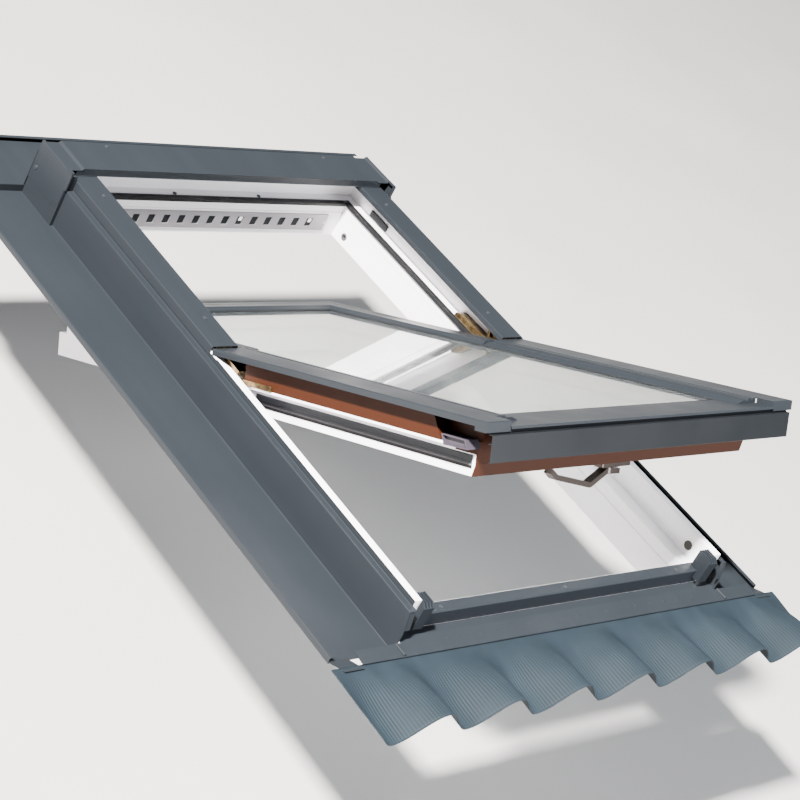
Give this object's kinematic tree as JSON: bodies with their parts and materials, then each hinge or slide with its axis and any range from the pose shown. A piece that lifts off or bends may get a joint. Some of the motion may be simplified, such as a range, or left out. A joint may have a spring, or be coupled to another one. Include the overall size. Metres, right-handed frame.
{
  "type": "roof skylight",
  "caption": "Centre-pivot roof window, open, with double-glazed sash, metal cladding, head ventilation strip, bottom handle and pleated tile flashing.",
  "frame": {"origin": "middle of the four bracket screws, on the plane of the roof battens", "axes": "+X across the window to the right seen from outside, +Y up the slope, +Z outward from the roof"},
  "size_m": [1.12, 1.533, 0.6409],
  "materials": {
    "grey_cladding": "satin coated sheet",
    "white_profile": "smooth",
    "brown_profile": "smooth",
    "seal": "matt",
    "pale_metal": "satin",
    "steel": "zinc plated",
    "dark_plastic": "matt",
    "white_plastic": "matt",
    "glass": "clear",
    "spacer_metal": "satin",
    "handle_metal": "satin",
    "skirt_metal": "matt coated soft sheet"
  },
  "bodies": {
    "frame": {"outer_frame": "white_profile", "frame_gasket": "seal", "vent_strip": "pale_metal", "vent_strip_screws": "steel", "head_screws": "steel", "left_upper_cover": "grey_cladding", "right_upper_cover": "grey_cladding", "upper_cover_screws": "steel", "cover_clips": "dark_plastic", "top_hood": "grey_cladding", "hood_posts": "dark_plastic", "flashing_spacers": "dark_plastic", "hood_screws": "steel", "left_side_flashing": "grey_cladding", "right_side_flashing": "grey_cladding", "top_flashing": "grey_cladding", "bottom_cover": "grey_cladding", "bottom_cover_screws": "steel", "left_corner_guide": "dark_plastic", "right_corner_guide": "dark_plastic", "front_flashing": "grey_cladding", "pleated_skirt": "skirt_metal", "fixing_plugs": "dark_plastic", "bolt_sockets": "dark_plastic", "left_frame_hinge": "steel", "right_frame_hinge": "steel", "mounting_brackets": "steel", "bracket_screws": "steel"},
    "sash": {"sash_frame": "white_profile", "sash_outer_profile": "brown_profile", "rail_facing": "brown_profile", "sash_gasket": "seal", "inner_pane": "glass", "outer_pane": "glass", "glass_spacer": "spacer_metal", "glazing_gasket": "seal", "upper_rim_cover": "grey_cladding", "left_side_cover": "grey_cladding", "right_side_cover": "grey_cladding", "bottom_rim_cover": "grey_cladding", "front_cover": "grey_cladding", "left_corner_cap": "grey_cladding", "right_corner_cap": "grey_cladding", "left_sash_hinge": "steel", "right_sash_hinge": "steel", "left_wedge": "white_plastic", "right_wedge": "white_plastic", "handle_base": "handle_metal"},
    "handle": {"handle_lever": "handle_metal"},
    "shutter": {"vent_shutter": "dark_plastic"}
  },
  "joints": [
    {"name": "sash_turn", "type": "hinge", "parent": "frame", "child": "sash", "pos_m": [0, 0.022, 0.11], "axis": [-1, 0, 0], "range_deg": [-29, 131]},
    {"name": "handle_turn", "type": "hinge", "parent": "sash", "child": "handle", "pos_m": [0, -0.51451, 0.28277], "axis": [0, -0.4848, -0.8746], "range_deg": [0, 90]},
    {"name": "vent_slide", "type": "slide", "parent": "frame", "child": "shutter", "axis": [1, 0, 0], "range_m": [0, 0.0186]}
  ]
}
